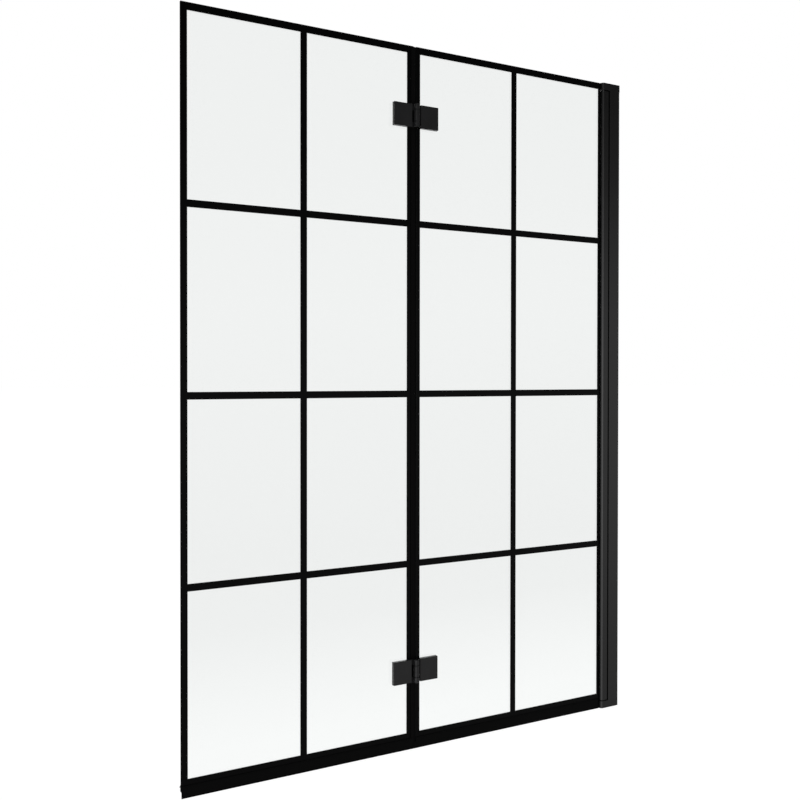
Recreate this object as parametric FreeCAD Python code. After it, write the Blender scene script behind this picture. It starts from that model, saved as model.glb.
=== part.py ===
import FreeCAD, Part
import math
import os

# Folding bath screen with two glass wings, in millimetres.
# The wall is the plane x = 0 and the wings reach towards -X. The room is on the -Y side, the bath on the
# +Y side, and z = 0 is the rim of the bath. The origin is the foot of the channel's back face on the wall.

# Whole screen
screen_width = 1000.0        # wall to the free edge of the outer wing
screen_height = 1400.0       # rim to the top edge of the glass
joint_from_wall = 528.0      # wall to the middle of the joint between the wings
joint_gap = 7.0              # clear width between the two panels
cut_overrun = 1.0            # how far every cutting body runs past the face it cuts

# Glass panels
glass_thickness = 6.0
glass_lift = 12.0            # lower edge of the glass above the rim
arris = 0.5                  # ground off the long edges

# Black grid fired into the room face of the glass
print_depth = 0.3
bar_width = 13.5
top_band = 14.5
bottom_band = 21.2
free_band = 11.5             # along the free edge of the outer wing
outer_joint_band = 14.5      # along the joint, on the outer wing
wall_joint_band = 8.5        # along the joint, on the wall wing
tube_band = 6.4              # along the pivot tube
pane_rows = 4
pane_columns = 2
edge_pane_extra = 6.0        # top and bottom panes are this much taller than the ones between

# Wall channel
channel_width = 17.2
channel_depth = 20.0
channel_wall = 1.6
channel_top_drop = 3.5       # top of the channel below the top of the cap
wall_hole_radius = 2.75
wall_hole_inset = 150.0      # outer wall holes from the ends of the screen

# Carrier profile, which sleeves over the channel
post_width = 20.0
post_depth = 23.2
wall_reveal = 5.5            # channel left showing between the carrier and the wall
slide_clearance = 0.2        # between the channel's sides and the carrier
channel_end_clearance = 0.5  # between the channel's front edges and the carrier's web
mouth_clearance = 0.5        # between the tube's round sides and the carrier's hollow front
swing_clearance = 0.4        # between the tube's flat sides, at a right angle, and the carrier
carrier_corner = 0.5
port_radius = 1.5
port_from_front = 4.1
port_from_side = 3.5

# Screws that fix the carrier to the channel, with push-on covers
fixing_screw_radius = 1.75
fixing_screw_length = 8.0
fixing_head_radius = 3.5
fixing_head_height = 2.2
fixing_hole_clearance = 0.1
fixing_screw_inset = 250.0   # outer fixing screws from the ends of the screen
cover_radius = 5.2
cover_wall = 1.2
cover_clearance = 0.2

# End caps, which carry the pivot pins
cap_height = 16.0
cap_skin = 2.0
cap_edge_radius = 0.8
cap_screw_radius = 1.4
cap_screw_length = 24.0
cap_screw_head_radius = 2.4
cap_screw_head_height = 1.6
cap_hole_clearance = 0.15

# Pivot pins and thrust washer
pivot_pin_radius = 3.0
pivot_pin_reach = 17.0       # pin inside the plug
pin_end_bevel = 0.5
pivot_gap = 2.5              # between each cap and the end of the tube
thrust_play = 0.3
washer_radius = 8.5
running_clearance = 0.05
seat_clearance = 0.02

# Pivot tube, round with two flat sides in line with the carrier's, which grips the wall wing
tube_radius = 12.0
tube_wall = 1.8
tube_bore_radius = 5.2
plug_length = 22.0
plug_clearance = 0.1
glazing_thickness = 1.3      # gasket each side of the glass in the slot
glazing_set_back = 0.3       # gasket edge behind the tube's face
glass_in_tube = 11.0         # how far the glass enters the tube
glass_to_plug = 1.0          # upright room between the glass and a plug
glass_to_tube = 0.1          # beside the tube, above and below the gripped stretch
glass_to_cap = 0.8

# Bottom seals
seal_wall = 1.2
seal_floor = 1.4
seal_grip = 10.0             # legs up the glass
seal_fit = 0.05              # between the legs and the glass
lip_thickness = 1.5
fin_reach = 5.8
fin_fall = 4.8
fin_thickness = 1.6          # measured upright
fin_from_top = 1.0

# Upright seal in the joint
joint_seal_leg = 5.5
joint_seal_floor = 1.3
joint_seal_clearance = 0.3   # to the other panel and to the hinges
joint_seal_bulb_wall = 0.9
joint_seal_top_drop = 1.2    # below the top edge of the glass
joint_to_bottom_seal = 0.3   # between the legs of the two seals

# Barrel hinges, with a leaf on the room side and a smaller back plate on the bath side
upper_hinge_drop = 139.5     # middle of the upper hinge below the top edge
lower_hinge_rise = 145.3     # middle of the lower hinge above the lower edge of the glass
hinge_height = 45.8
hinge_reach = 50.5           # middle of the joint to the far end of a leaf
back_plate_height = 37.0
back_plate_reach = 40.5
back_plate_thickness = 6.0
hinge_gasket = 1.0
plate_corner = 1.2
plate_bevel = 0.4
barrel_radius = 6.5
barrel_clearance = 3.2       # between the barrel and the plates
barrel_bevel = 0.5
fold_room = 1.05             # leaves' faces behind the axis, so that the wings fold flat
arm_recess = 2.5             # arms to the barrel behind the leaves' faces
end_knuckle = 11.0
knuckle_gap = 0.5            # left showing between two knuckles
bush_flange = 1.0
bush_flange_radius = 4.9
bush_radius = 3.8
bush_length = 8.0
axial_play = 0.2
hinge_pin_radius = 2.5

# Hinge screws, from the bath side
hinge_screw_radius = 3.0
hinge_screw_depth = 4.2      # in the leaf
hinge_screw_spacing = 22.0
hinge_screw_from_joint = 26.0
hinge_screw_play = 0.3
screw_head_radius = 5.6
screw_head_sink = 0.2
socket_width = 4.0           # across the flats
socket_depth = 2.2
thread_clearance = 0.05
sleeve_radius = 6.0
sleeve_clearance = 0.2

# Places that follow from the sizes
joint_x = -joint_from_wall
free_edge_x = -screen_width
outer_glass_x = joint_x - joint_gap / 2
wall_glass_x = joint_x + joint_gap / 2
glass_half = glass_thickness / 2
glass_bottom_z = glass_lift
post_half = post_width / 2
carrier_front_x = -(wall_reveal + post_depth)
carrier_back_x = -wall_reveal
tube_x = carrier_front_x - swing_clearance - post_half
tube_face_x = tube_x - tube_radius
beside_cap_x = tube_face_x - glass_to_cap
tube_bottom_z = cap_height + pivot_gap
tube_top_z = screen_height - cap_height - pivot_gap
slot_half = glass_half + glazing_thickness
middle_z = screen_height / 2
wall_hole_heights = (wall_hole_inset, middle_z, screen_height - wall_hole_inset)
fixing_screw_heights = (fixing_screw_inset, middle_z, screen_height - fixing_screw_inset)
cap_screw_x = carrier_front_x + port_from_front
cap_screw_y = post_half - port_from_side
seal_side = glass_half + seal_fit + seal_wall
seal_top_z = glass_bottom_z + seal_grip
seal_floor_z = glass_bottom_z - seal_floor
gasket_face = glass_half + hinge_gasket
barrel_back_y = -(seal_side + joint_seal_clearance)
fold_axis_y = barrel_back_y - barrel_radius
leaf_face_y = fold_axis_y + fold_room
back_plate_face_y = gasket_face + back_plate_thickness
plate_start = barrel_radius + barrel_clearance
hinge_middles = {
    "upper": screen_height - upper_hinge_drop,
    "lower": glass_bottom_z + lower_hinge_rise,
}
wing_sides = {"outer": -1, "wall": 1}
plate_faces = {"room": leaf_face_y, "bath": back_plate_face_y}
plate_sizes = {"room": (hinge_reach, hinge_height), "bath": (back_plate_reach, back_plate_height)}

X = FreeCAD.Vector(1, 0, 0)
Y = FreeCAD.Vector(0, 1, 0)
Z = FreeCAD.Vector(0, 0, 1)
pieces = {}


def box(x_span, y_span, z_span):
    """Block between the ends of three spans, given in either order."""
    low = [min(span) for span in (x_span, y_span, z_span)]
    size = [abs(span[1] - span[0]) for span in (x_span, y_span, z_span)]
    return Part.makeBox(size[0], size[1], size[2], FreeCAD.Vector(*low))


def rod(radius, start, along, length):
    """Round bar from a start point along a unit direction."""
    return Part.makeCylinder(radius, length, FreeCAD.Vector(*start), along)


def turned(profile, start, along):
    """Solid of revolution: profile points are (distance along the axis, radius), closed back to the axis."""
    points = [FreeCAD.Vector(radius, 0, distance) for distance, radius in profile]
    face = Part.Face(Part.makePolygon(points + points[:1]))
    solid = face.revolve(FreeCAD.Vector(), Z, math.degrees(2 * math.pi))
    turn = FreeCAD.Rotation(Z, along)
    solid.Placement = FreeCAD.Placement(FreeCAD.Vector(*start), turn)
    return solid


def extruded(points, along):
    """Closed outline of straight sides, carried along a vector."""
    return Part.Face(Part.makePolygon(points + points[:1])).extrude(along)


def edges_where(shape, test):
    """Edges whose two ends both pass a test on their position."""
    return [edge for edge in shape.Edges if all(test(vertex.Point) for vertex in edge.Vertexes)]


def near(value, target):
    """True for two positions that are the same but for rounding."""
    return math.isclose(value, target, abs_tol=1e-6)


def wall_channel():
    """U channel with its web on the wall and three screw holes in the web."""
    z_span = (0, screen_height - channel_top_drop)
    half = channel_width / 2
    inner = half - channel_wall
    body = box((-channel_depth, 0), (-half, half), z_span)
    hollow = box(
        (-channel_depth - cut_overrun, -channel_wall),
        (-inner, inner),
        (-cut_overrun, screen_height),
    )
    body = body.cut(hollow)
    for height in wall_hole_heights:
        start = (-channel_wall - cut_overrun, 0, height)
        body = body.cut(rod(wall_hole_radius, start, X, channel_wall + 2 * cut_overrun))
    hole_radius = fixing_screw_radius + fixing_hole_clearance
    for height in fixing_screw_heights:
        start = (fixing_screw_x(), inner - cut_overrun, height)
        body = body.cut(rod(hole_radius, start, Y, channel_wall + 2 * cut_overrun))
    return body


def fixing_screw_x():
    """Fixing screws sit in the middle of the stretch where the carrier overlaps the channel."""
    return -(wall_reveal + channel_depth) / 2


def channel_pocket(z_span):
    """Room for the channel, open to the wall, shared by the carrier and both caps."""
    half = channel_width / 2 + slide_clearance
    front = -channel_depth - channel_end_clearance
    return box((front, cut_overrun), (-half, half), z_span)


def carrier_profile():
    """Extrusion with a hollow front for the tube, a pocket for the channel and two screw ports."""
    z_span = (cap_height, screen_height - cap_height)
    length = z_span[1] - z_span[0]
    through = (-cut_overrun, screen_height + cut_overrun)
    body = box((carrier_front_x, carrier_back_x), (-post_half, post_half), z_span)
    upright = [edge for edge in body.Edges if near(abs(edge.tangentAt(edge.FirstParameter).z), 1)]
    body = body.makeFillet(carrier_corner, upright)
    body = body.cut(rod(tube_radius + mouth_clearance, (tube_x, 0, cap_height), Z, length))
    body = body.cut(channel_pocket(through))
    for side in (-1, 1):
        body = body.cut(rod(port_radius, (cap_screw_x, side * cap_screw_y, cap_height), Z, length))
    hole_radius = fixing_screw_radius + fixing_hole_clearance
    wall = post_half - channel_width / 2
    for height in fixing_screw_heights:
        start = (fixing_screw_x(), post_half - wall, height)
        body = body.cut(rod(hole_radius, start, Y, wall + cut_overrun))
    return body


def fixing_screws():
    """Pan head screws through the carrier's bath side into the channel."""
    profile = [
        (-fixing_screw_length, 0),
        (-fixing_screw_length, fixing_screw_radius),
        (0, fixing_screw_radius),
        (0, fixing_head_radius),
        (fixing_head_height / 2, fixing_head_radius),
        (fixing_head_height, fixing_head_radius / 2),
        (fixing_head_height, 0),
    ]
    return [turned(profile, (fixing_screw_x(), post_half, height), Y) for height in fixing_screw_heights]


def fixing_covers():
    """Domed plastic covers over the heads of the fixing screws."""
    room_radius = fixing_head_radius + cover_clearance
    room_height = fixing_head_height + cover_clearance
    dome = room_height + cover_wall
    profile = [
        (0, room_radius),
        (0, cover_radius),
        (dome / 2, cover_radius),
        (dome, room_radius),
        (dome, 0),
        (room_height, 0),
        (room_height, room_radius),
    ]
    return [turned(profile, (fixing_screw_x(), post_half, height), Y) for height in fixing_screw_heights]


def end_cap(outer_z, inward):
    """Cap over the end of carrier and tube: nose like the tube, pin socket, screws, room for the channel.

    outer_z is the cap's outer face and inward is 1 where the screen lies above it, -1 where below. The top
    cap covers the channel back to the wall, the bottom cap leaves it open to drain."""
    inner_z = outer_z + inward * cap_height
    low = min(outer_z, inner_z)
    back_x = carrier_back_x
    pocket_end = outer_z - cut_overrun
    if inward < 0:
        back_x = -channel_end_clearance
        pocket_end = outer_z - channel_top_drop + channel_end_clearance
    body = box((tube_x, back_x), (-post_half, post_half), (outer_z, inner_z))
    body = body.fuse(flat_sided_rod(tube_radius, post_half, low, cap_height)).removeSplitter()

    def on_outer_rim(point):
        return near(point.z, outer_z)

    body = body.makeFillet(cap_edge_radius, edges_where(body, on_outer_rim))
    body = body.cut(channel_pocket((pocket_end, inner_z + inward * cut_overrun)))
    socket_start = (tube_x, 0, outer_z + inward * cap_skin)
    body = body.cut(rod(pivot_pin_radius + seat_clearance, socket_start, inward * Z, cap_height))
    for side in (-1, 1):
        place = (cap_screw_x, side * cap_screw_y, outer_z)
        hole = cap_screw_profile(cap_hole_clearance, cap_height + cut_overrun)
        body = body.cut(turned(hole, place, inward * Z))
    return body


def cap_screw_profile(clearance, length):
    """Countersunk screw along its axis, or its hole when a clearance is given."""
    shank = cap_screw_radius + clearance
    return [
        (0, 0),
        (0, cap_screw_head_radius + clearance),
        (cap_screw_head_height, shank),
        (length, shank),
        (length, 0),
    ]


def cap_screws(outer_z, inward):
    """Two countersunk screws through a cap into the carrier's ports."""
    profile = cap_screw_profile(0, cap_screw_length)
    return [turned(profile, (cap_screw_x, side * cap_screw_y, outer_z), inward * Z) for side in (-1, 1)]


def pivot_pin(outer_z, inward):
    """Pin fixed in a cap, reaching into the plug of the tube."""
    length = cap_height - cap_skin + pivot_gap + pivot_pin_reach
    profile = [
        (0, 0),
        (0, pivot_pin_radius),
        (length - pin_end_bevel, pivot_pin_radius),
        (length, pivot_pin_radius - pin_end_bevel),
        (length, 0),
    ]
    return turned(profile, (tube_x, 0, outer_z + inward * cap_skin), inward * Z)


def thrust_washer():
    """Plastic washer on the bottom cap, which carries the tube."""
    thickness = pivot_gap - thrust_play
    body = rod(washer_radius, (tube_x, 0, cap_height), Z, thickness)
    return body.cut(rod(pivot_pin_radius + running_clearance, (tube_x, 0, cap_height), Z, thickness))


def flat_sided_rod(radius, half_depth, low_z, length):
    """Round bar on the pivot axis with flats on the room side and the bath side."""
    bar = rod(radius, (tube_x, 0, low_z), Z, length)
    slab = box((tube_x - radius, tube_x + radius), (-half_depth, half_depth), (low_z, low_z + length))
    return bar.common(slab)


def slot_block(half_width, z_span):
    """Straight slot from the middle of the tube out past its round face."""
    return box((tube_face_x - cut_overrun, tube_x), (-half_width, half_width), z_span)


def pivot_tube():
    """Hollow flat-sided extrusion: a bore for the plugs and a slot that grips the glass, both walled."""
    length = tube_top_z - tube_bottom_z
    start = (tube_x, 0, tube_bottom_z)
    chamber = flat_sided_rod(tube_radius - tube_wall, post_half - tube_wall, tube_bottom_z, length)
    chamber = chamber.cut(rod(tube_bore_radius + tube_wall, start, Z, length))
    chamber = chamber.cut(slot_block(slot_half + tube_wall, (0, screen_height)))
    body = flat_sided_rod(tube_radius, post_half, tube_bottom_z, length).cut(chamber)
    body = body.cut(rod(tube_bore_radius, start, Z, length))
    return body.cut(slot_block(slot_half, (0, screen_height)))


def tube_plug(low_z):
    """Plastic plug in one end of the tube: fills bore and slot, and runs on the pivot pin."""
    start = (tube_x, 0, low_z)
    z_span = (low_z, low_z + plug_length)
    body = rod(tube_bore_radius - plug_clearance, start, Z, plug_length)
    body = body.fuse(slot_block(slot_half - plug_clearance, z_span))
    body = body.common(rod(tube_radius, start, Z, plug_length)).removeSplitter()
    return body.cut(rod(pivot_pin_radius + running_clearance, start, Z, plug_length))


def gripped_span():
    """Heights between which the glass enters the tube."""
    room = plug_length + glass_to_plug
    return (tube_bottom_z + room, tube_top_z - room)


def glazing_gaskets():
    """Two strips in the slot, one on each face of the glass."""
    outer = math.sqrt(tube_radius ** 2 - slot_half ** 2) - glazing_set_back
    inner = math.sqrt(tube_bore_radius ** 2 - slot_half ** 2)
    x_span = (tube_x - outer, tube_x - inner)
    return [box(x_span, (side * glass_half, side * slot_half), gripped_span()) for side in (-1, 1)]


def eased_panel(x_span):
    """Glass of the full height with the edges of both faces ground off."""
    body = box(x_span, (-glass_half, glass_half), (glass_bottom_z, screen_height))
    long_edges = [edge for edge in body.Edges if not near(abs(edge.tangentAt(edge.FirstParameter).y), 1)]
    return body.makeChamfer(arris, long_edges)


def wall_glass_blank():
    """Wall panel before printing: stepped edge at the tube, gripped tongue, hinge holes."""
    y_span = (-glass_half, glass_half)
    step_start = beside_cap_x - cut_overrun
    body = eased_panel((wall_glass_x, beside_cap_x))
    body = body.fuse(box((step_start, tube_face_x - glass_to_tube), y_span, (tube_bottom_z, tube_top_z)))
    body = body.fuse(box((step_start, tube_face_x + glass_in_tube), y_span, gripped_span()))
    return drilled_for_hinges(body.removeSplitter(), "wall")


def outer_glass_blank():
    """Outer panel before printing."""
    return drilled_for_hinges(eased_panel((free_edge_x, outer_glass_x)), "outer")


def drilled_for_hinges(body, wing):
    """Cut the holes for the sleeves of both hinges."""
    radius = sleeve_radius + sleeve_clearance
    for x, z in hinge_screw_places(wing, "upper") + hinge_screw_places(wing, "lower"):
        start = (x, -glass_half - cut_overrun, z)
        body = body.cut(rod(radius, start, Y, glass_thickness + 2 * cut_overrun))
    return body


def grid_print(blank, low_x, high_x, low_band, high_band):
    """Black grid as deep as the firing, flush with the room face of a panel."""
    skin = box(
        (low_x, high_x),
        (-glass_half, -glass_half + print_depth),
        (glass_bottom_z, screen_height),
    )
    grid = blank.common(skin)
    clear_x = (low_x + low_band, high_x - high_band)
    clear_z = (glass_bottom_z + bottom_band, screen_height - top_band)
    pane_width = (clear_x[1] - clear_x[0] - (pane_columns - 1) * bar_width) / pane_columns
    spare = clear_z[1] - clear_z[0] - (pane_rows - 1) * bar_width - 2 * edge_pane_extra
    pane_height = spare / pane_rows
    y_span = (-glass_half - cut_overrun, glass_half)
    for column in range(pane_columns):
        x = clear_x[0] + column * (pane_width + bar_width)
        z = clear_z[0]
        for row in range(pane_rows):
            height = pane_height
            if row in (0, pane_rows - 1):
                height += edge_pane_extra
            grid = grid.cut(box((x, x + pane_width), y_span, (z, z + height)))
            z += height + bar_width
    return grid


def bottom_seal(x_span):
    """Extruded seal: two legs up the glass, a wiping lip near the room face and a drip fin over the bath."""
    grip = glass_half + seal_fit
    fin_top = seal_top_z - fin_from_top
    fin_tip = fin_top - fin_fall
    outline = [
        (-seal_side, 0),
        (-seal_side + lip_thickness, 0),
        (-seal_side + lip_thickness, seal_floor_z),
        (seal_side, seal_floor_z),
        (seal_side, fin_top - fin_thickness),
        (seal_side + fin_reach, fin_tip - fin_thickness / 2),
        (seal_side + fin_reach, fin_tip),
        (seal_side, fin_top),
        (seal_side, seal_top_z),
        (grip, seal_top_z),
        (grip, glass_bottom_z),
        (-grip, glass_bottom_z),
        (-grip, seal_top_z),
        (-seal_side, seal_top_z),
    ]
    points = [FreeCAD.Vector(min(x_span), y, z) for y, z in outline]
    return extruded(points, X * abs(x_span[1] - x_span[0]))


def bulb_face(tip_x, base_x, half):
    """Rounded nose in plan: an arc from side to side over a straight base."""
    left = FreeCAD.Vector(base_x, -half, 0)
    tip = FreeCAD.Vector(tip_x, 0, 0)
    right = FreeCAD.Vector(base_x, half, 0)
    arc = Part.Arc(left, tip, right).toShape()
    return Part.Face(Part.Wire([arc, Part.LineSegment(right, left).toShape()]))


def joint_seal():
    """Seal on the upright edge of the outer panel: two legs above the bottom seal, and a floor with a hollow
    bulb that run down to the rim."""
    top_z = screen_height - joint_seal_top_drop
    grip = glass_half + seal_fit
    leg_x = outer_glass_x - joint_seal_leg
    floor_x = outer_glass_x + joint_seal_floor
    tip_x = wall_glass_x - joint_seal_clearance
    y_span = (-seal_side, seal_side)
    legs = box((leg_x, outer_glass_x), y_span, (seal_top_z + joint_to_bottom_seal, top_z))
    legs = legs.cut(box((leg_x, outer_glass_x), (-grip, grip), (0, screen_height)))
    bulb = bulb_face(tip_x, floor_x, glass_half).extrude(Z * top_z)
    body = box((outer_glass_x, floor_x), y_span, (0, top_z)).fuse([legs, bulb]).removeSplitter()
    bulb_room = bulb_face(tip_x - joint_seal_bulb_wall, floor_x, glass_half - joint_seal_bulb_wall)
    return body.cut(bulb_room.extrude(Z * top_z))


def beside_joint(wing, near_end, far_end):
    """Span in x between two distances from the middle of the joint, on one wing."""
    side = wing_sides[wing]
    return (joint_x + side * near_end, joint_x + side * far_end)


def hinge_span(level):
    """Lower and upper end of a hinge."""
    middle = hinge_middles[level]
    return (middle - hinge_height / 2, middle + hinge_height / 2)


def hinge_screw_places(wing, level):
    """Axes of the two screws that clamp one wing in one hinge, as (x, z)."""
    x = joint_x + wing_sides[wing] * hinge_screw_from_joint
    return [(x, hinge_middles[level] + side * hinge_screw_spacing / 2) for side in (-1, 1)]


def plate_block(wing, level, side, y_span):
    """Block with the outline of the plate on the room or the bath side of one wing."""
    reach, height = plate_sizes[side]
    middle = hinge_middles[level]
    return box(beside_joint(wing, plate_start, reach), y_span, (middle - height / 2, middle + height / 2))


def hinge_plate(wing, level, side):
    """Plate of a hinge with rounded corners and a bevelled outer face."""
    face_y = plate_faces[side]
    body = plate_block(wing, level, side, (math.copysign(gasket_face, face_y), face_y))
    upright = [edge for edge in body.Edges if near(abs(edge.tangentAt(edge.FirstParameter).y), 1)]
    body = body.makeFillet(plate_corner, upright)

    def on_face(point):
        return near(point.y, face_y)

    return body.makeChamfer(plate_bevel, edges_where(body, on_face))


def knuckle_spans(wing, level):
    """Heights of the knuckles: two ends on the outer wing, the middle one on the wall wing."""
    low, high = hinge_span(level)
    room = end_knuckle + knuckle_gap
    spans = {
        "outer": [(low, low + end_knuckle), (high - end_knuckle, high)],
        "wall": [(low + room, high - room)],
    }
    return spans[wing]


def hinge_leaf(wing, level, bore_radius):
    """Room side leaf: plate, arms to the barrel, knuckles with their bore, blind screw holes."""
    body = hinge_plate(wing, level, "room")
    for low, high in knuckle_spans(wing, level):
        arm_x = beside_joint(wing, 0, plate_start + plate_corner)
        arm = box(arm_x, (leaf_face_y + arm_recess, barrel_back_y), (low, high))
        knuckle = rod(barrel_radius, (joint_x, fold_axis_y, low), Z, high - low)
        rims = [edge for edge in knuckle.Edges if len(edge.Vertexes) == 1]
        knuckle = knuckle.makeChamfer(barrel_bevel, rims)
        body = body.fuse([arm, knuckle])
    body = body.removeSplitter()
    low, high = hinge_span(level)
    body = body.cut(rod(bore_radius, (joint_x, fold_axis_y, low), Z, high - low))
    if wing == "wall":
        for end_z, inward in flange_seats(level):
            start = (joint_x, fold_axis_y, end_z)
            body = body.cut(rod(bush_flange_radius + seat_clearance, start, inward, bush_flange))
    radius = hinge_screw_radius + thread_clearance
    depth = hinge_screw_depth + hinge_screw_play
    for x, z in hinge_screw_places(wing, level):
        body = body.cut(rod(radius, (x, -gasket_face - depth, z), Y, depth))
    return body


def hinge_screw_profile(clearance, length):
    """Countersunk screw along its axis from the back plate's face, or its hole when a clearance is given."""
    shank = hinge_screw_radius + clearance
    head = screw_head_radius + clearance
    return [(0, 0), (0, head), (head - shank, shank), (length, shank), (length, 0)]


def hinge_back_plate(wing, level):
    """Bath side plate with two countersunk holes."""
    body = hinge_plate(wing, level, "bath")
    profile = hinge_screw_profile(hinge_screw_play, back_plate_thickness + cut_overrun)
    for x, z in hinge_screw_places(wing, level):
        body = body.cut(turned(profile, (x, back_plate_face_y, z), -Y))
    return body


def hinge_gaskets(wing, level):
    """Two soft pads between plates and glass, with room for the sleeves."""
    pads = []
    radius = sleeve_radius + sleeve_clearance
    for side, face_y in plate_faces.items():
        y_span = (math.copysign(glass_half, face_y), math.copysign(gasket_face, face_y))
        pad = plate_block(wing, level, side, y_span)
        for x, z in hinge_screw_places(wing, level):
            pad = pad.cut(rod(radius, (x, -gasket_face, z), Y, 2 * gasket_face))
        pads.append(pad)
    return pads


def hinge_sleeves(wing, level):
    """Plastic sleeves that keep the screws off the glass."""
    sleeves = []
    for x, z in hinge_screw_places(wing, level):
        start = (x, -gasket_face, z)
        sleeve = rod(sleeve_radius, start, Y, 2 * gasket_face)
        sleeves.append(sleeve.cut(rod(hinge_screw_radius + hinge_screw_play, start, Y, 2 * gasket_face)))
    return sleeves


def hinge_screws(wing, level):
    """Countersunk screws with a six-sided socket, from the back plate into the leaf."""
    length = back_plate_thickness - screw_head_sink + 2 * gasket_face + hinge_screw_depth
    face_y = back_plate_face_y - screw_head_sink
    corner = socket_width / math.sqrt(3)
    screws = []
    for x, z in hinge_screw_places(wing, level):
        screw = turned(hinge_screw_profile(0, length), (x, face_y, z), -Y)
        turns = [side * math.pi / 3 for side in range(6)]
        socket = [
            FreeCAD.Vector(x + corner * math.cos(turn), face_y, z + corner * math.sin(turn)) for turn in turns
        ]
        screws.append(screw.cut(extruded(socket, -Y * socket_depth)))
    return screws


def hinge_bushes(level):
    """Two flanged bushes in the middle knuckle, one from each end, their flanges let in."""
    bore = hinge_pin_radius + running_clearance
    proud = knuckle_gap - axial_play
    profile = [
        (bush_length, bore),
        (bush_length, bush_radius - seat_clearance),
        (bush_flange, bush_radius - seat_clearance),
        (bush_flange, bush_flange_radius),
        (-proud, bush_flange_radius),
        (-proud, bore),
    ]
    return [turned(profile, (joint_x, fold_axis_y, end_z), inward) for end_z, inward in flange_seats(level)]


def flange_seats(level):
    """Both ends of the middle knuckle, with the direction into it."""
    low, high = knuckle_spans("wall", level)[0]
    return ((low, Z), (high, -Z))


def hinge_pin(level):
    """Pin through the barrel, fixed in the end knuckles."""
    low, high = hinge_span(level)
    length = high - low
    profile = [
        (0, 0),
        (0, hinge_pin_radius - pin_end_bevel),
        (pin_end_bevel, hinge_pin_radius),
        (length - pin_end_bevel, hinge_pin_radius),
        (length, hinge_pin_radius - pin_end_bevel),
        (length, 0),
    ]
    return turned(profile, (joint_x, fold_axis_y, low), Z)


# On the wall
pieces["wall_channel"] = wall_channel()
pieces["carrier_profile"] = carrier_profile()
pieces["carrier_screws"] = fixing_screws()
pieces["carrier_screw_caps"] = fixing_covers()
for name, outer_z, inward in (("bottom", 0, 1), ("top", screen_height, -1)):
    pieces[name + "_cap"] = end_cap(outer_z, inward)
    pieces[name + "_cap_screws"] = cap_screws(outer_z, inward)
    pieces[name + "_pivot_pin"] = pivot_pin(outer_z, inward)
pieces["thrust_washer"] = thrust_washer()

# Wall wing
pieces["pivot_tube"] = pivot_tube()
pieces["bottom_tube_plug"] = tube_plug(tube_bottom_z)
pieces["top_tube_plug"] = tube_plug(tube_top_z - plug_length)
pieces["glazing_gaskets"] = glazing_gaskets()
wall_blank = wall_glass_blank()
print_end = tube_face_x - glass_to_tube
pieces["wall_grid_print"] = grid_print(
    wall_blank, wall_glass_x, print_end, wall_joint_band, tube_band - glass_to_tube
)
pieces["wall_glass"] = wall_blank.cut(pieces["wall_grid_print"])
pieces["wall_bottom_seal"] = bottom_seal((wall_glass_x, beside_cap_x))

# Outer wing
outer_blank = outer_glass_blank()
pieces["outer_grid_print"] = grid_print(outer_blank, free_edge_x, outer_glass_x, free_band, outer_joint_band)
pieces["outer_glass"] = outer_blank.cut(pieces["outer_grid_print"])
pieces["outer_bottom_seal"] = bottom_seal((free_edge_x, outer_glass_x))
pieces["joint_seal"] = joint_seal()

# Hinges
leaf_bores = {"outer": hinge_pin_radius + seat_clearance, "wall": bush_radius}
for level in hinge_middles:
    for wing in wing_sides:
        stem = level + "_" + wing
        pieces[stem + "_leaf"] = hinge_leaf(wing, level, leaf_bores[wing])
        pieces[stem + "_back_plate"] = hinge_back_plate(wing, level)
        pieces[stem + "_gaskets"] = hinge_gaskets(wing, level)
        pieces[stem + "_sleeves"] = hinge_sleeves(wing, level)
        pieces[stem + "_screws"] = hinge_screws(wing, level)
    pieces[level + "_hinge_pin"] = hinge_pin(level)
    pieces[level + "_hinge_bushes"] = hinge_bushes(level)

os.makedirs("parts", exist_ok=True)
for name, piece in pieces.items():
    shape = piece
    if isinstance(piece, list):
        shape = Part.makeCompound(piece)
    shape.exportStep("parts/" + name + ".step")
    state = "valid" if shape.isValid() else "INVALID"
    print(name, len(shape.Solids), "solids", round(shape.Volume), "mm3", state)
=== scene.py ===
import math

import bpy
import numpy as np
from mathutils import Matrix, Vector


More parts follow.
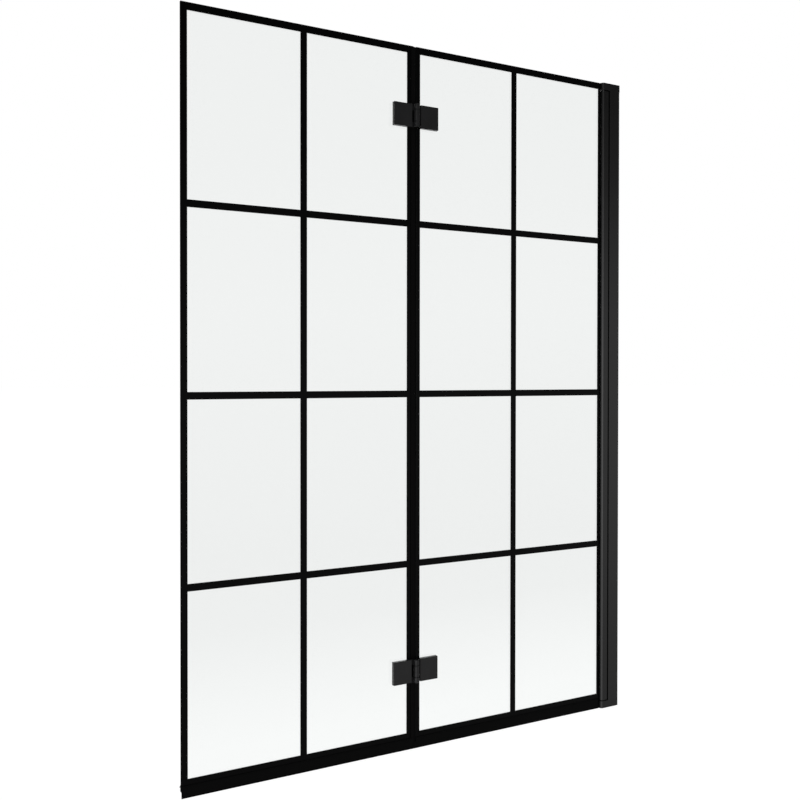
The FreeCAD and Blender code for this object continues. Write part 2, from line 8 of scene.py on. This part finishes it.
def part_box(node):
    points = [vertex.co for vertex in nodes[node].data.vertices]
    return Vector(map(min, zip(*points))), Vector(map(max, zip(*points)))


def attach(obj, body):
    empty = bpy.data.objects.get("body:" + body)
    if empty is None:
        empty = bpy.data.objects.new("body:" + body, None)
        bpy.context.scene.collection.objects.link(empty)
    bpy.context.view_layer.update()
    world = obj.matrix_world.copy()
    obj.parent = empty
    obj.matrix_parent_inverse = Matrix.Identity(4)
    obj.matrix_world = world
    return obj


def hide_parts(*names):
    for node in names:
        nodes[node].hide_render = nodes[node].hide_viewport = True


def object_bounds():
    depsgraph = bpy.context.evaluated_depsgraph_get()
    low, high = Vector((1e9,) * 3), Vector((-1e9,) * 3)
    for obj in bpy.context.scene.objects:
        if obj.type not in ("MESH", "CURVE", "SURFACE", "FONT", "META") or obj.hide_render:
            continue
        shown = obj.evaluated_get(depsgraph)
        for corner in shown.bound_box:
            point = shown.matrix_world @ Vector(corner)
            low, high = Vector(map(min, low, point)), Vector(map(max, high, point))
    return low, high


# Wall channel: the U of extruded aluminium that is screwed to the wall and carries all the rest.
# It is cut to length, drilled, and powder coated satin black, which leaves a faint orange peel.
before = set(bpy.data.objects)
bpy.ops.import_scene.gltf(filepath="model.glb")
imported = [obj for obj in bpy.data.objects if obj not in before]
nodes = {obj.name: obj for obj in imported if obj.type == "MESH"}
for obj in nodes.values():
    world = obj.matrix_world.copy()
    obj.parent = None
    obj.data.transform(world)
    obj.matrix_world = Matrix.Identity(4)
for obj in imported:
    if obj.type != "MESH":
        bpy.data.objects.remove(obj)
cad_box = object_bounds()


class Field:
    """One output socket of a finish, so that shader maths reads as ordinary expressions."""

    def __init__(self, socket):
        self.socket = socket

    def node(self, kind, settings=None, inputs=None, output=0):
        """Add a node beside this field: its settings first, then the values or links of its sockets."""
        tree = self.socket.id_data
        made = tree.nodes.new(kind)
        for name, value in (settings or {}).items():
            if name == "stops":
                ramp = made.color_ramp
                while len(ramp.elements) < len(value):
                    ramp.elements.new(1.0)
                for element, (position, colour) in zip(ramp.elements, value):
                    element.position = position
                    element.color = colour
            else:
                setattr(made, name, value)
        for name, value in (inputs or {}).items():
            if isinstance(value, Field):
                tree.links.new(value.socket, made.inputs[name])
            else:
                made.inputs[name].default_value = value
        return Field(made.outputs[output])

    def feed(self, socket):
        """Link this field to a socket of a shader or an output."""
        self.socket.id_data.links.new(self.socket, socket)

    def maths(self, operation, first, second):
        return self.node("ShaderNodeMath", {"operation": operation}, {0: first, 1: second})

    def __add__(self, other):
        return self.maths("ADD", self, other)

    def __radd__(self, other):
        return self.maths("ADD", other, self)

    def __sub__(self, other):
        return self.maths("SUBTRACT", self, other)

    def __rsub__(self, other):
        return self.maths("SUBTRACT", other, self)

    def __mul__(self, other):
        return self.maths("MULTIPLY", self, other)

    def __rmul__(self, other):
        return self.maths("MULTIPLY", other, self)


def new_finish(name, **constants):
    """Material with a Principled shader; constants set its sockets, with _ for a space in their names."""
    material = bpy.data.materials.new(name)
    material.use_nodes = True
    shader = material.node_tree.nodes["Principled BSDF"]
    for socket, value in constants.items():
        shader.inputs[socket.replace("_", " ")].default_value = value
    place = Field(shader.outputs[0]).node("ShaderNodeTexCoord", output="Object")
    return material, shader, place


def grain(place, size, detail=2.0, stretch=(1.0, 1.0, 1.0)):
    """Soft noise from 0 to 1 with lumps of one size in metres, drawn out by the stretch along each axis."""
    scale = [1.0 / (size * length) for length in stretch]
    spread = place.node("ShaderNodeMapping", None, {"Vector": place, "Scale": scale})
    return place.node("ShaderNodeTexNoise", None, {"Vector": spread, "Scale": 1.0, "Detail": detail})


def tinted(mask, dark, light):
    """Colour between two greys or tints, led by a mask from 0 to 1."""
    sockets = {0: mask, 6: (*dark, 1.0), 7: (*light, 1.0)}
    return mask.node("ShaderNodeMix", {"data_type": "RGBA"}, sockets, output=2)


def relief(height, depth):
    """Normal tilted by a height from 0 to 1 that stands for a depth in metres."""
    sockets = {"Height": height, "Distance": depth, "Strength": 1.0}
    return height.node("ShaderNodeBump", None, sockets, "Normal")


def black_coat(name, grey, roughness, peel_size, peel_depth, specular):
    """Satin black coat: peel in the relief, patches of slightly different gloss and depth of colour."""
    material, shader, place = new_finish(name, Specular_IOR_Level=specular)
    patch_size = 40.0 * peel_size
    dark, light, cool_light = 0.8 * grey, 1.2 * grey, 1.25 * grey
    patch_gloss, peel_gloss = 0.06, 0.04
    smoothest = roughness - (patch_gloss + peel_gloss) / 2
    peel = grain(place, peel_size)
    patches = grain(place, patch_size, detail=3.0)
    tinted(patches, (dark, dark, dark), (light, light, cool_light)).feed(shader.inputs["Base Color"])
    (smoothest + patch_gloss * patches + peel_gloss * peel).feed(shader.inputs["Roughness"])
    relief(peel, peel_depth).feed(shader.inputs["Normal"])
    return material


def dress(material, *names):
    """Give CAD nodes a finish in place of their plain one."""
    for name in names:
        for slot in nodes[name].material_slots:
            slot.material = material


profile_coat = black_coat(
    "profile_coat", grey=0.004, roughness=0.20, peel_size=0.0009, peel_depth=0.000018, specular=0.5
)
dress(profile_coat, "wall_channel")

# Carrier profile: an extrusion that sleeves over the channel, so the screen can be set to the bath's width.
# It has the same coat as the channel and is locked to it from the bath side.
dress(profile_coat, "carrier_profile")


# Fixing screws and covers: three pan head screws of ground stainless steel lock the carrier to the channel.
# Each has a moulded push-on cover with the fine spark-eroded grain of its mould.
def ground_steel(name):
    """Bright steel with fine turning rings across the axis of an upright pin."""
    material, shader, place = new_finish(name, Metallic=1.0)
    rings = grain(place, size=0.0002, detail=3.0, stretch=(12.0, 12.0, 1.0))
    tinted(rings, (0.50, 0.50, 0.51), (0.68, 0.68, 0.69)).feed(shader.inputs["Base Color"])
    (0.22 + 0.16 * rings).feed(shader.inputs["Roughness"])
    relief(rings, depth=0.000004).feed(shader.inputs["Normal"])
    return material


steel = ground_steel("ground_steel")
moulded_black = black_coat(
    "moulded_black", grey=0.004, roughness=0.25, peel_size=0.0005, peel_depth=0.000012, specular=0.46
)
dress(steel, "carrier_screws")
dress(moulded_black, "carrier_screw_caps")


# End caps: black mouldings that close the profiles at top and bottom and hold the pivot pins.
# Two blackened countersunk screws fix each cap in the screw ports of the carrier.
def blackened_steel(name):
    """Oxide black steel: a thin dark skin whose gloss is uneven from screw to screw."""
    material, shader, place = new_finish(name, Metallic=0.7)
    skin = grain(place, size=0.0012, detail=4.0)
    tinted(skin, (0.010, 0.010, 0.011), (0.030, 0.030, 0.032)).feed(shader.inputs["Base Color"])
    (0.30 + 0.20 * skin).feed(shader.inputs["Roughness"])
    relief(skin, depth=0.000008).feed(shader.inputs["Normal"])
    return material


black_steel = blackened_steel("blackened_steel")
dress(moulded_black, "top_cap", "bottom_cap")
dress(black_steel, "top_cap_screws", "bottom_cap_screws")


# Pivot pins and thrust washer: steel pins fixed in the caps, on which the wall wing turns.
# The washer under the tube is black bearing plastic and carries the weight of both wings.
def bearing_plastic(name):
    """Black bearing plastic: waxy, with soft clouds from the mould."""
    material, shader, place = new_finish(name, Specular_IOR_Level=0.3)
    clouds = grain(place, size=0.003, detail=3.0)
    tinted(clouds, (0.005, 0.005, 0.005), (0.011, 0.011, 0.011)).feed(shader.inputs["Base Color"])
    (0.40 + 0.12 * clouds).feed(shader.inputs["Roughness"])
    return material


bearing = bearing_plastic("bearing_plastic")
dress(steel, "top_pivot_pin", "bottom_pivot_pin")
dress(bearing, "thrust_washer")

# Pivot tube: a hollow extrusion with flat sides in line with the carrier's, which grips the glass in a slot.
# Moulded plugs in its two ends run on the pivot pins.
dress(profile_coat, "pivot_tube")
dress(moulded_black, "top_tube_plug", "bottom_tube_plug")


# Glazing gaskets: soft black strips with round edges, pressed into the slot on both faces of the glass.
# They are extruded, so their marks run along their length.
def soft_seal(name, stretch):
    """Soft black extruded plastic: die lines drawn out along its length, and a bloom that dulls the gloss."""
    material, shader, place = new_finish(name, Specular_IOR_Level=0.06)
    lines = grain(place, size=0.0005, stretch=stretch)
    bloom = grain(place, size=0.012, detail=3.0, stretch=stretch)
    tinted(bloom, (0.0020, 0.0020, 0.0020), (0.0040, 0.0040, 0.0040)).feed(shader.inputs["Base Color"])
    (0.46 + 0.14 * bloom + 0.06 * lines).feed(shader.inputs["Roughness"])
    relief(lines, depth=0.00003).feed(shader.inputs["Normal"])
    return material


def rounded(corners, radius, steps=5):
    """Closed outline with soft corners: each corner P becomes the curve (1 - t)^2 A + 2 t (1 - t) P + t^2 B,
    where A and B lie one radius away from P towards its two neighbours."""
    corner = np.array(corners)[:, None, :]
    t = np.linspace(0.0, 1.0, steps)[None, :, None]
    to_last = np.roll(corner, 1, axis=0) - corner
    to_next = np.roll(corner, -1, axis=0) - corner
    start = corner + radius * to_last / np.linalg.norm(to_last, axis=2, keepdims=True)
    end = corner + radius * to_next / np.linalg.norm(to_next, axis=2, keepdims=True)
    return ((1 - t) ** 2 * start + 2 * t * (1 - t) * corner + t**2 * end).reshape(-1, 2)


def carried(outline, start, end, place, spacing=0.008):
    """Points, sides and ends of a closed outline carried along a straight path from start to end. The place
    function puts its two coordinates, with the way along the path, into x, y and z."""
    stations = np.linspace(start, end, max(2, int((end - start) / spacing)))
    along, first = np.meshgrid(stations, outline[:, 0], indexing="ij")
    second = np.broadcast_to(outline[:, 1], along.shape)
    points = np.stack(place(along, first, second), axis=2).reshape(-1, 3)
    count = len(outline)
    here = np.arange(count)
    beside = (here + 1) % count
    row = count * np.arange(len(stations) - 1)[:, None]
    sides = np.stack([row + here, row + beside, row + count + beside, row + count + here], axis=2)
    ends = np.stack([here[::-1], here + count * (len(stations) - 1)])
    return points, sides.reshape(-1, 4), ends


def straight_up(z, x, y):
    """Profile in x and y drawn straight along z."""
    return x, y, z


def soft_piece(name, parts, material, body, replaced):
    """Smooth shaded object from carried outlines, riding on a body in place of a solid."""
    crease = math.radians(50)
    starts = np.cumsum([0] + [len(points) for points, _, _ in parts])
    faces = []
    for start, (_, sides, ends) in zip(starts, parts):
        faces += (sides + start).tolist() + (ends + start).tolist()
    mesh = bpy.data.meshes.new(name)
    mesh.from_pydata(np.concatenate([points for points, _, _ in parts]).tolist(), [], faces)
    mesh.materials.append(material)
    mesh.shade_smooth()
    mesh.set_sharp_from_angle(angle=crease)
    piece = bpy.data.objects.new(name, mesh)
    bpy.context.scene.collection.objects.link(piece)
    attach(piece, body)
    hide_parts(replaced)


drawn_out = 60.0
upright_seal = soft_seal("upright_seal", (1.0, 1.0, drawn_out))
glass_half = 0.0030
leg_fit = 0.00005
grip = glass_half + leg_fit
strip_radius = 0.0005
low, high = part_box("glazing_gaskets")
strip_outer = high.y - leg_fit
strips = [
    [(low.x, grip), (high.x, grip), (high.x, strip_outer), (low.x, strip_outer)],
    [(low.x, -strip_outer), (high.x, -strip_outer), (high.x, -grip), (low.x, -grip)],
]
whole_length = high.z - low.z
parts = [carried(rounded(strip, strip_radius), low.z, high.z, straight_up, whole_length) for strip in strips]
soft_piece("glazing_strips", parts, upright_seal, "wall_wing", "glazing_gaskets")


# Glass panels: two sheets of clear toughened float glass, 6 mm thick, with ground edges and drilled holes.
# Toughening leaves a long, very shallow roller wave, and the ground edges get painted shade and reflection:
# almost black.
def clear_glass(name):
    """Clear glass that bends light but lets lamps through, with a roller wave and a green body colour."""
    material, shader, place = new_finish(
        name, Base_Color=(0.900, 0.908, 0.904, 1.0), Roughness=0.0, IOR=1.5, Transmission_Weight=1.0
    )
    wave = grain(place, size=0.22, detail=1.0, stretch=(1.0, 1.0, 0.7))
    relief(wave, depth=0.00006).feed(shader.inputs["Normal"])
    shadow = place.node("ShaderNodeLightPath", output="Is Shadow Ray")
    open_to_lamps = place.node("ShaderNodeBsdfTransparent", None, {"Color": (0.90, 0.92, 0.91, 1.0)})
    both = place.node("ShaderNodeMixShader", None, {0: shadow, 1: Field(shader.outputs[0]), 2: open_to_lamps})
    body = place.node("ShaderNodeVolumeAbsorption", None, {"Color": (0.62, 0.86, 0.76, 1.0), "Density": 5.0})
    output = material.node_tree.nodes["Material Output"]
    both.feed(output.inputs["Surface"])
    body.feed(output.inputs["Volume"])
    return material


def painted_dark_edge(name):
    """Ground edge of the glass in painted shade: almost black green, with fine marks along the path of the
    wheel.
    """
    material, shader, place = new_finish(name, Specular_IOR_Level=0.2)
    wheel = grain(place, size=0.0003, stretch=(30.0, 1.0, 30.0))
    tinted(wheel, (0.0012, 0.0022, 0.0018), (0.0026, 0.0044, 0.0036)).feed(shader.inputs["Base Color"])
    (0.30 + 0.20 * wheel).feed(shader.inputs["Roughness"])
    relief(wheel, depth=0.000004).feed(shader.inputs["Normal"])
    return material


def painted_edge_finish(name, material):
    """Painted dark second finish for the faces of a panel between its two sides: rim, bevels, holes and print
    bed.
    """
    between_share = 0.98
    sheet = nodes[name].data
    sheet.materials.append(material)
    middles = np.empty(3 * len(sheet.polygons))
    sheet.polygons.foreach_get("center", middles)
    depth = np.abs(middles[1::3])
    sheet.polygons.foreach_set("material_index", np.where(depth < between_share * depth.max(), 1, 0))


dress(clear_glass("clear_glass"), "wall_glass", "outer_glass")
# Rim, bevels and holes of both panels are painted almost black: painted shade and reflection of the print,
# not a clear edge.
edge = painted_dark_edge("painted_dark_edge")
for panel in ("wall_glass", "outer_glass"):
    painted_edge_finish(panel, edge)


# Printed grid: black ceramic enamel, screen printed on the room face and fired into the glass in toughening.
# The fired film is dense and smooth, with the faint mottle of the screen.
def fired_enamel(name):
    """Black enamel film: almost no light comes back, and the gloss is mottled by the mesh of the screen."""
    material, shader, place = new_finish(name, Specular_IOR_Level=0.08)
    mottle = grain(place, size=0.0016)
    tinted(mottle, (0.0010, 0.0010, 0.0011), (0.0022, 0.0022, 0.0023)).feed(shader.inputs["Base Color"])
    (0.22 + 0.12 * mottle).feed(shader.inputs["Roughness"])
    relief(mottle, depth=0.000003).feed(shader.inputs["Normal"])
    return material


dress(fired_enamel("fired_enamel"), "wall_grid_print", "outer_grid_print")

# Bottom seals: soft black extrusions pushed on the lower edge of each panel, with a wiping lip on the room
# side and a drip fin that throws the water back over the bath. The fin is thin and never lies quite straight.
# At the joint the lip of the wall wing runs on under the upright seal, so that no water gets between.
flat_seal = soft_seal("flat_seal", (drawn_out, 1.0, 1.0))
leg_wall = 0.0012
leg_side = grip + leg_wall
legs_top = 0.0220
glass_foot = 0.0120
seal_floor = 0.0106
lip_root = 0.0015
lip_tip = 0.0009
fin_reach = 0.0058
fin_fall = 0.0048
fin_root = 0.0016
fin_tip = 0.0008
fin_below_top = 0.0010
fin_top = legs_top - fin_below_top
fin_low = fin_top - fin_fall
fin_end = leg_side + fin_reach
corner_radius = 0.00035
long_sag, long_wave = 0.00030, 0.310
short_sag, short_wave, short_phase = 0.00018, 0.117, 1.3
lip_lean, lean_wave, lean_phase = 0.00012, 0.230, 0.4


def along_rim(x, y, z):
    """Profile in y and z drawn along x. Past the legs the fin sags by the square of its reach times two slow
    sine waves in x, and below the floor the lip leans by the square of its fall times a third."""
    out = np.clip((y - leg_side) / fin_reach, 0.0, 1.0)
    down = np.clip(1.0 - z / seal_floor, 0.0, 1.0)
    turn = 2 * np.pi * x
    sag = long_sag * np.sin(turn / long_wave) + short_sag * np.sin(turn / short_wave + short_phase)
    lean = lip_lean * np.sin(turn / lean_wave + lean_phase)
    return x, y + down**2 * lean, z + out**2 * sag


seal_outline = rounded(
    [
        (-leg_side, 0.0), (-leg_side + lip_tip, 0.0), (-leg_side + lip_root, seal_floor),
        (leg_side, seal_floor), (leg_side, fin_top - fin_root), (fin_end, fin_low - fin_tip),
        (fin_end, fin_low), (leg_side, fin_top), (leg_side, legs_top), (grip, legs_top), (grip, glass_foot),
        (-grip, glass_foot), (-grip, legs_top), (-leg_side, legs_top),
    ],
    corner_radius,
)
tongue_top = 0.0140
tongue_inset = 0.00005
tongue_wall = 0.0005
tongue_front = tongue_inset - leg_side
tongue_back = tongue_wall - leg_side
tongue_outline = rounded(
    [(tongue_front, 0.0), (tongue_back, 0.0), (tongue_back, tongue_top), (tongue_front, tongue_top)],
    corner_radius / 2,
)
run_in = 0.0020
seal_gap = 0.0003
upright_floor = 0.0013
joint_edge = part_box("outer_glass")[1].x
floor_front = joint_edge + upright_floor
for wing in ("wall", "outer"):
    low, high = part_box(wing + "_bottom_seal")
    parts = [carried(seal_outline, low.x, high.x, along_rim)]
    if wing == "wall":
        parts.append(carried(tongue_outline, floor_front + seal_gap, low.x + run_in, along_rim))
    soft_piece(wing + "_soft_seal", parts, flat_seal, wing + "_wing", wing + "_bottom_seal")

# Joint seal: a soft upright extrusion on the edge of the outer panel. Two legs grip the glass above the
# bottom seal, and a hollow bulb faces the other panel and closes the joint when the screen is open.
upright_leg = 0.0055
bulb_half = 0.0030
bulb_wall = 0.0009
bulb_root = 0.0002
bulb_steps = 17
bulb_give, give_wave = 0.00010, 0.270
foot_inset = 0.00002


def nose(root, base, tip, half):
    """Bulb in plan from side to side: the circle through (base, -half), (tip, 0) and (base, half), with its
    two ends run straight back to the root."""
    radius = ((tip - base) ** 2 + half**2) / (2 * (tip - base))
    spread = np.arctan2(half, radius - (tip - base))
    turn = np.linspace(-spread, spread, bulb_steps)
    arc = np.stack([tip - radius + radius * np.cos(turn), radius * np.sin(turn)], axis=1)
    return np.concatenate([[(root, -half)], arc, [(root, half)]])


def along_joint(z, x, y):
    """Profile in x and y drawn along z. Past the floor the bulb gives by the square of its reach times a slow
    sine wave in z."""
    reach = np.clip((x - floor_front) / bulb_half, 0.0, 1.0)
    return x + bulb_give * reach**2 * np.sin(2 * np.pi * z / give_wave), y, z


low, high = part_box("joint_seal")
leg_end = joint_edge - upright_leg
grip_outline = rounded(
    [
        (leg_end, -leg_side), (floor_front, -leg_side), (floor_front, leg_side), (leg_end, leg_side),
        (leg_end, grip), (joint_edge, grip), (joint_edge, -grip), (leg_end, -grip),
    ],
    corner_radius,
)
foot_back, foot_front, foot_side = joint_edge + foot_inset, floor_front - foot_inset, leg_side - foot_inset
foot_outline = rounded(
    [(foot_back, -foot_side), (foot_front, -foot_side), (foot_front, foot_side), (foot_back, foot_side)],
    corner_radius,
)
bulb_start = floor_front - bulb_root
bulb_outside = nose(bulb_start, floor_front, high.x, bulb_half)
bulb_inside = nose(bulb_start, floor_front, high.x - bulb_wall, bulb_half - bulb_wall)
bulb_outline = np.concatenate([bulb_outside, bulb_inside[::-1]])
grip_start = legs_top + seal_gap
parts = [
    carried(grip_outline, grip_start, high.z, along_joint),
    carried(foot_outline, low.z, grip_start + run_in, along_joint),
    carried(bulb_outline, low.z, high.z, along_joint),
]
soft_piece("joint_soft_seal", parts, upright_seal, "outer_wing", "joint_seal")

# Hinges: two barrel hinges of cast metal, each with a leaf on the room side and a back plate on the bath side
# of both panels. The castings are shot blasted and coated satin black, a little finer than the profiles.
hinge_coat = black_coat(
    "hinge_coat", grey=0.024, roughness=0.12, peel_size=0.0006, peel_depth=0.000010, specular=0.30
)
stems = [f"{level}_{wing}" for level in ("upper", "lower") for wing in ("wall", "outer")]
for stem in stems:
    dress(hinge_coat, stem + "_leaf", stem + "_back_plate")


# Hinge pads, sleeves and bushes: thin pads lie between plates and glass, sleeves keep the screws off the
# glass, and flanged bushes of bearing plastic let the middle knuckle turn on the pin.
def pad_rubber(name):
    """Dull black rubber sheet with a fine cloth mark from the press."""
    material, shader, place = new_finish(name, Specular_IOR_Level=0.2)
    mark = grain(place, size=0.0004, detail=1.0)
    tinted(mark, (0.006, 0.006, 0.006), (0.014, 0.014, 0.014)).feed(shader.inputs["Base Color"])
    (0.62 + 0.18 * mark).feed(shader.inputs["Roughness"])
    relief(mark, depth=0.00002).feed(shader.inputs["Normal"])
    return material


pad = pad_rubber("pad_rubber")
for stem in stems:
    dress(pad, stem + "_gaskets")
    dress(bearing, stem + "_sleeves")
dress(bearing, "upper_hinge_bushes", "lower_hinge_bushes")

# Hinge screws and pins: countersunk socket screws from the bath side clamp the plates through the glass,
# and a blackened pin through each barrel joins the two wings.
for stem in stems:
    dress(black_steel, stem + "_screws")
dress(black_steel, "upper_hinge_pin", "lower_hinge_pin")

# Floor: a plain pale floor at the height of the bath rim, wide enough to be pale as far as the view goes.
# It glows a little, so that it stays as light as the air around it and takes only a breath of shadow.
# The camera alone sees it, so that it lights nothing from below.
floor_reach = 60.0
floor_drop = 0.0005
floor_glow = 0.97


def pale_floor(name):
    """Pale matt paint with a faint cloud in its colour."""
    white = (1.0, 1.0, 1.0, 1.0)
    material, shader, place = new_finish(
        name, Roughness=0.9, Specular_IOR_Level=0.0, Emission_Color=white, Emission_Strength=floor_glow
    )
    clouds = grain(place, size=0.8)
    tinted(clouds, (0.19, 0.19, 0.19), (0.21, 0.21, 0.21)).feed(shader.inputs["Base Color"])
    return material


sides = floor_reach * np.array([(-1, -1), (1, -1), (1, 1), (-1, 1)])
floor_mesh = bpy.data.meshes.new("floor")
floor_mesh.from_pydata(np.insert(sides, 2, -floor_drop, axis=1).tolist(), [], [(0, 1, 2, 3)])
floor_mesh.materials.append(pale_floor("pale_floor"))
floor = bpy.data.objects.new("floor", floor_mesh)
bpy.context.scene.collection.objects.link(floor)
floor.visible_glossy = False
floor.visible_diffuse = False
floor.visible_transmission = False

# Light: a white surround for the camera, a paper sweep seen through the glass, and a shaped studio for the
# screen itself: a bright soft wall left of the camera, a dimmer one right of it and a third behind the bath.
# Walls are given by degrees around, the light's fall by degrees of height and the sweep by slope.
studio_level = 2.25
round_wall = (
    (-180, 0.015), (-76, 0.015), (-66, 0.46), (-52, 0.60), (-46, 1.0), (-26, 1.0), (-18, 0.31),
    (60, 0.31), (84, 0.12), (112, 0.12), (122, 0.6), (158, 0.6), (168, 0.015), (180, 0.015),
)
fall_off = (
    (-90, 0.3), (-18, 0.66), (-8, 1.0), (4, 1.0), (8, 0.62), (12, 0.30), (17, 0.16), (40, 0.14), (90, 0.5),
)
sweep_level = 1.1
sweep = (
    (-0.41, 1.08), (-0.36, 1.045), (-0.28, 0.98), (-0.20, 0.966), (0.0, 0.985), (0.18, 1.005), (0.40, 1.01),
)


def ramp_of(place, steps):
    """Grey ramp led by a field from 0 to 1; each step is a position and a level."""
    stops = [(position, (level, level, level, 1.0)) for position, level in steps]
    return place.node("ShaderNodeValToRGB", {"stops": stops}, {0: place})


surround = bpy.data.worlds.new("studio")
surround.use_nodes = True
air = surround.node_tree.nodes["Background"]
look = Field(air.outputs[0]).node("ShaderNodeTexCoord", output="Generated")
seen = look.node("ShaderNodeLightPath", output="Is Camera Ray")
through = look.node("ShaderNodeLightPath", output="Is Transmission Ray")
direction = look.node("ShaderNodeSeparateXYZ", None, {0: look})
to_right, to_back, to_top = (Field(socket) for socket in direction.socket.node.outputs)
around = look.maths("ARCTAN2", to_right, 0.0 - to_back)
slope = look.maths("DIVIDE", to_top, look.maths("ABSOLUTE", to_back, 0.0))
wall = ramp_of(0.5 + around * (0.5 / math.pi), [(0.5 + turn / 360.0, level) for turn, level in round_wall])
rises = [(0.5 + 0.5 * math.sin(math.radians(rise)), level) for rise, level in fall_off]
studio = studio_level * wall * ramp_of(0.5 + 0.5 * to_top, rises)
paper = sweep_level * ramp_of(0.5 + slope, [(0.5 + tilt, level / sweep_level) for tilt, level in sweep])
lit = through * paper + (1.0 - through) * studio
(seen + (1.0 - seen) * lit).feed(air.inputs["Strength"])
air.inputs["Color"].default_value = (1.0, 1.0, 1.0, 1.0)
bpy.context.scene.world = surround


def softbox(name, place, aim, width, height, radiance):
    """Soft rectangular lamp at a place, turned to an aim; area A and radiance L make pi A L watts."""
    lamp = bpy.data.lights.new(name, "AREA")
    lamp.shape = "RECTANGLE"
    lamp.size = width
    lamp.size_y = height
    lamp.energy = math.pi * width * height * radiance
    box = bpy.data.objects.new(name, lamp)
    box.location = place
    box.rotation_euler = (Vector(aim) - Vector(place)).to_track_quat("-Z", "Y").to_euler()
    box.visible_camera = False
    box.visible_transmission = False
    bpy.context.scene.collection.objects.link(box)


middle = (cad_box[0] + cad_box[1]) / 2
softbox("above", place=(-0.5, 0.2, 3.2), aim=middle, width=1.6, height=1.0, radiance=1.5)

# Camera: it stands on the room side, left of the screen and at half its height, as the photograph was taken.
# Its place and lens come from the corners of the printed grid, and its frame is shifted to match the crop.
camera_place = (-1.4647, -1.6344, 0.7423)
camera_yaw = math.radians(28.977)
camera_pitch = math.radians(-0.524)
camera_roll = math.radians(0.056)
lens_pixels = 943.01
frame_pixels = 800
axis_above_middle = 14.06
sensor = 36.0

eye = bpy.data.cameras.new("camera")
eye.sensor_width = sensor
eye.lens = sensor * lens_pixels / frame_pixels
eye.shift_y = -axis_above_middle / frame_pixels
camera = bpy.data.objects.new("camera", eye)
turn = Matrix.Rotation(-camera_yaw, 4, "Z") @ Matrix.Rotation(math.pi / 2 + camera_pitch, 4, "X")
camera.matrix_world = Matrix.Translation(camera_place) @ turn @ Matrix.Rotation(camera_roll, 4, "Z")
bpy.context.scene.collection.objects.link(camera)
bpy.context.scene.camera = camera
bpy.context.scene.view_settings.view_transform = "Standard"
